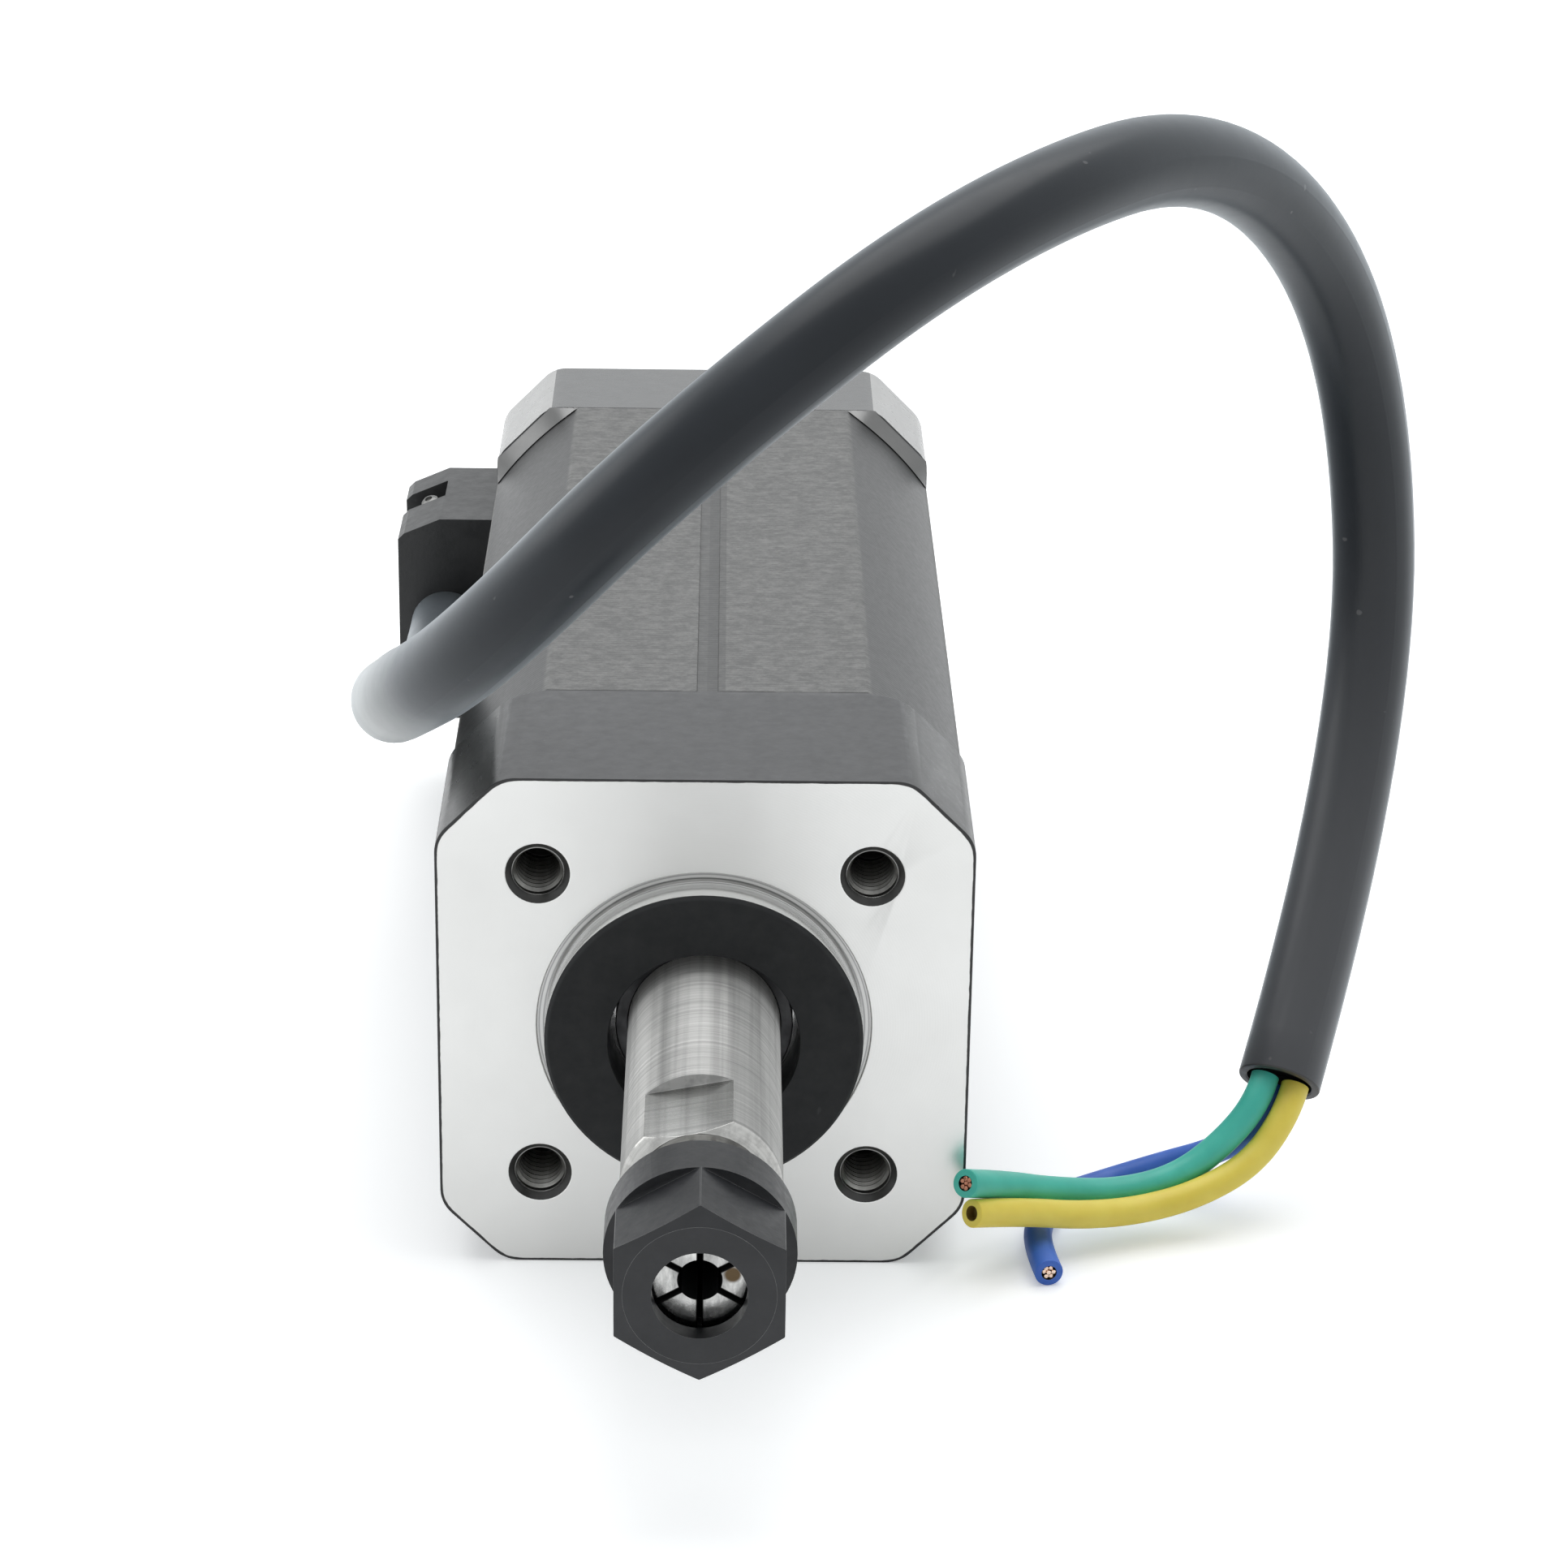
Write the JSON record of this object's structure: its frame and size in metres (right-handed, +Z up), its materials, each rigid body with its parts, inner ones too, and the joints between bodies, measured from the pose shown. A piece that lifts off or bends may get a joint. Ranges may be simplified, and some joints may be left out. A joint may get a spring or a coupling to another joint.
{
  "type": "motor spindle",
  "caption": "Square-flanged brushless motor spindle with a collet nose, a hexagon collet nut, sealed ball bearings and a side cable outlet.",
  "frame": {"origin": "middle of the flange face, on the spindle axis", "axes": "+X to the right seen from the collet, +Y along the axis to the rear of the motor, +Z up; the spindle points along -Y"},
  "size_m": [0.0899, 0.151, 0.0939],
  "materials": {
    "black_paint": "satin black paint on a cast surface, bright where it is machined",
    "lamination_paint": "satin black paint over laminations",
    "bright_steel": "fine turned",
    "black_oxide": "black oxide on turned steel, satin",
    "collet_steel": "ground spring steel",
    "bearing_steel": "ground and polished",
    "shield_steel": "pressed, satin",
    "cage_steel": "pressed, satin",
    "electrical_steel": "stamped laminations",
    "magnet": "plated sintered magnet",
    "sleeve_steel": "thin rolled sleeve",
    "enamelled_copper": "enamelled winding",
    "insulator_plastic": "moulded, natural",
    "screw_steel": "black oxide",
    "small_screw_steel": "zinc plated",
    "block_plastic": "moulded, fine texture",
    "sheath_rubber": "matte extruded",
    "green_insulation": "extruded, satin",
    "yellow_insulation": "extruded, satin",
    "blue_insulation": "extruded, satin"
  },
  "bodies": {
    "motor": {"cable_sheath": "sheath_rubber", "coils_phase_a": "enamelled_copper", "coils_phase_b": "enamelled_copper", "coils_phase_c": "enamelled_copper", "front_bearing_outer_race": "bearing_steel", "front_bearing_shields": "shield_steel", "front_end_cap": "black_paint", "insulator_front": "insulator_plastic", "insulator_rear": "insulator_plastic", "outlet_block": "block_plastic", "outlet_screws": "small_screw_steel", "phase_leads": "insulator_plastic", "preload_washer": "shield_steel", "rear_bearing_outer_race": "bearing_steel", "rear_bearing_shields": "shield_steel", "rear_end_cap": "black_paint", "stator_core": "lamination_paint", "tie_screws": "screw_steel", "wire_blue": "blue_insulation", "wire_green": "green_insulation", "wire_yellow": "yellow_insulation"},
    "rotor": {"spindle_shaft": "bright_steel", "rotor_core": "electrical_steel", "rotor_magnets": "magnet", "magnet_sleeve": "sleeve_steel", "front_spacer": "bright_steel", "front_bearing_inner_race": "bearing_steel", "rear_bearing_inner_race": "bearing_steel"},
    "front_cage": {"front_bearing_cage": "cage_steel", "front_bearing_balls": "bearing_steel"},
    "rear_cage": {"rear_bearing_cage": "cage_steel", "rear_bearing_balls": "bearing_steel"},
    "collet": {"spring_collet": "collet_steel"},
    "nut": {"collet_nut": "black_oxide"}
  },
  "joints": [
    {"name": "rotor_spin", "type": "hinge", "parent": "motor", "child": "rotor", "pos_m": [0, 0, 0], "axis": [0, -1, 0], "continuous": true},
    {"name": "front_cage_spin", "type": "hinge", "parent": "motor", "child": "front_cage", "pos_m": [0, 0.006, 0], "axis": [0, -1, 0], "continuous": true},
    {"name": "rear_cage_spin", "type": "hinge", "parent": "motor", "child": "rear_cage", "pos_m": [0, 0.1015, 0], "axis": [0, -1, 0], "continuous": true},
    {"name": "collet_slide", "type": "slide", "parent": "rotor", "child": "collet", "axis": [0, -1, 0], "range_m": [0, 0.0045]},
    {"name": "nut_turn", "type": "hinge", "parent": "collet", "child": "nut", "pos_m": [0, -0.04, 0], "axis": [0, -1, 0], "range_deg": [0, 2160]}
  ],
  "couplings": [
    {"joint": "front_cage_spin", "follows": "rotor_spin", "ratio": 0.384},
    {"joint": "rear_cage_spin", "follows": "rotor_spin", "ratio": 0.365},
    {"joint": "collet_slide", "follows": "nut_turn", "m_per_rad": 0.00011937}
  ]
}
